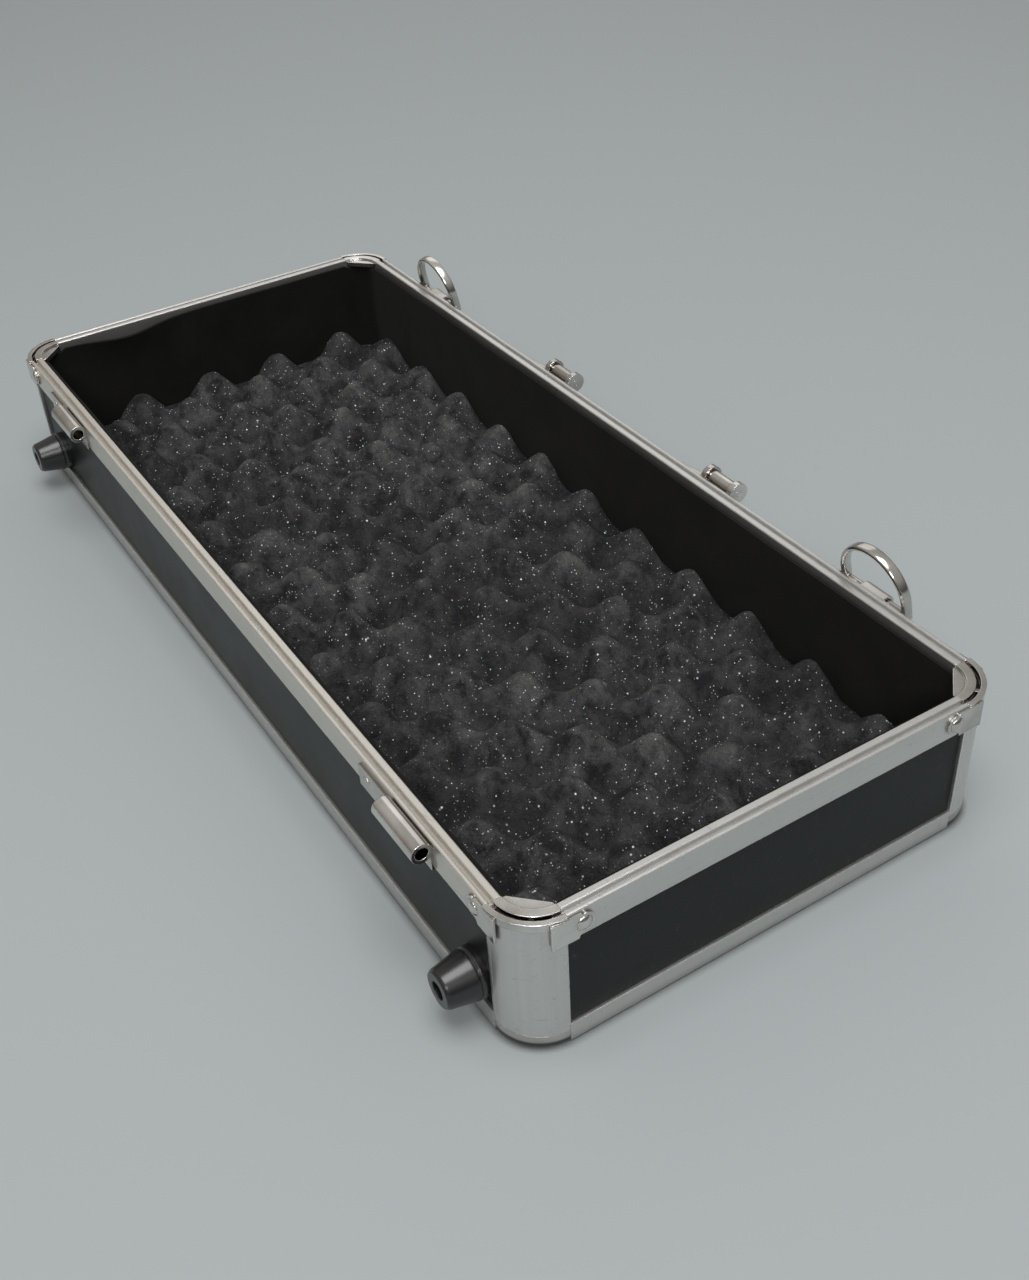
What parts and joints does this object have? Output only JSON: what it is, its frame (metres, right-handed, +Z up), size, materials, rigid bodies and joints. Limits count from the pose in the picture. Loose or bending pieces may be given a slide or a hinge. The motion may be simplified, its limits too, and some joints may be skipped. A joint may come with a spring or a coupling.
{
  "type": "pedal case lower half",
  "caption": "Shallow rectangular carrying case half with rounded corners, open on top, egg-crate foam inside, hasps and strap rings in front, lift-off hinge knuckles and rubber feet behind.",
  "frame": {"origin": "centre of the case's footprint on the surface it stands on", "axes": "+Z up, +X along the case to its right end, -Y the front with hasps and strap rings, +Y the back with hinge halves and feet"},
  "size_m": [0.5044, 0.2374, 0.0818],
  "materials": {
    "aluminium": "satin anodised extrusion",
    "chrome": "bright plated pressed steel",
    "laminate": "thin board with a smooth black laminate",
    "lining": "black flocked lining",
    "foam": "charcoal open-cell egg-crate foam",
    "rubber": "moulded black rubber"
  },
  "bodies": {
    "case": {"rim_front": "aluminium", "rim_back": "aluminium", "rim_left": "aluminium", "rim_right": "aluminium", "bottom_edge_front": "aluminium", "bottom_edge_back": "aluminium", "bottom_edge_left": "aluminium", "bottom_edge_right": "aluminium", "corner_post_front_left": "aluminium", "corner_post_front_right": "aluminium", "corner_post_back_left": "aluminium", "corner_post_back_right": "aluminium", "rim_corner_front_left": "chrome", "rim_corner_front_right": "chrome", "rim_corner_back_left": "chrome", "rim_corner_back_right": "chrome", "bottom_cap_front_left": "chrome", "bottom_cap_front_right": "chrome", "bottom_cap_back_left": "chrome", "bottom_cap_back_right": "chrome", "panel_front": "laminate", "panel_back": "laminate", "panel_left": "laminate", "panel_right": "laminate", "floor_board": "laminate", "lining_front": "lining", "lining_back": "lining", "lining_left": "lining", "lining_right": "lining", "egg_crate_foam": "foam", "hinge_half_left": "chrome", "hinge_half_right": "chrome", "latch_plate_left": "chrome", "latch_plate_right": "chrome", "latch_pin_left": "chrome", "latch_pin_right": "chrome", "ring_bracket_left": "chrome", "ring_bracket_right": "chrome", "rubber_foot_left": "rubber", "rubber_foot_right": "rubber", "foot_screws": "chrome", "corner_rivets": "chrome", "hinge_rivets": "chrome", "latch_rivets": "chrome", "bracket_rivets": "chrome"},
    "left_hasp": {"latch_hasp_left": "chrome"},
    "right_hasp": {"latch_hasp_right": "chrome"},
    "left_ring": {"strap_ring_left": "chrome"},
    "right_ring": {"strap_ring_right": "chrome"}
  },
  "joints": [
    {"name": "left_hasp_swing", "type": "hinge", "parent": "case", "child": "left_hasp", "pos_m": [-0.0795, -0.1113, 0.062], "axis": [-1, 0, 0], "range_deg": [0, 175]},
    {"name": "right_hasp_swing", "type": "hinge", "parent": "case", "child": "right_hasp", "pos_m": [0.0485, -0.1113, 0.062], "axis": [-1, 0, 0], "range_deg": [0, 175]},
    {"name": "left_ring_swing", "type": "hinge", "parent": "case", "child": "left_ring", "pos_m": [-0.176, -0.1127, 0.057], "axis": [1, 0, 0], "range_deg": [-11, 190]},
    {"name": "right_ring_swing", "type": "hinge", "parent": "case", "child": "right_ring", "pos_m": [0.176, -0.1127, 0.057], "axis": [1, 0, 0], "range_deg": [-11, 190]}
  ]
}
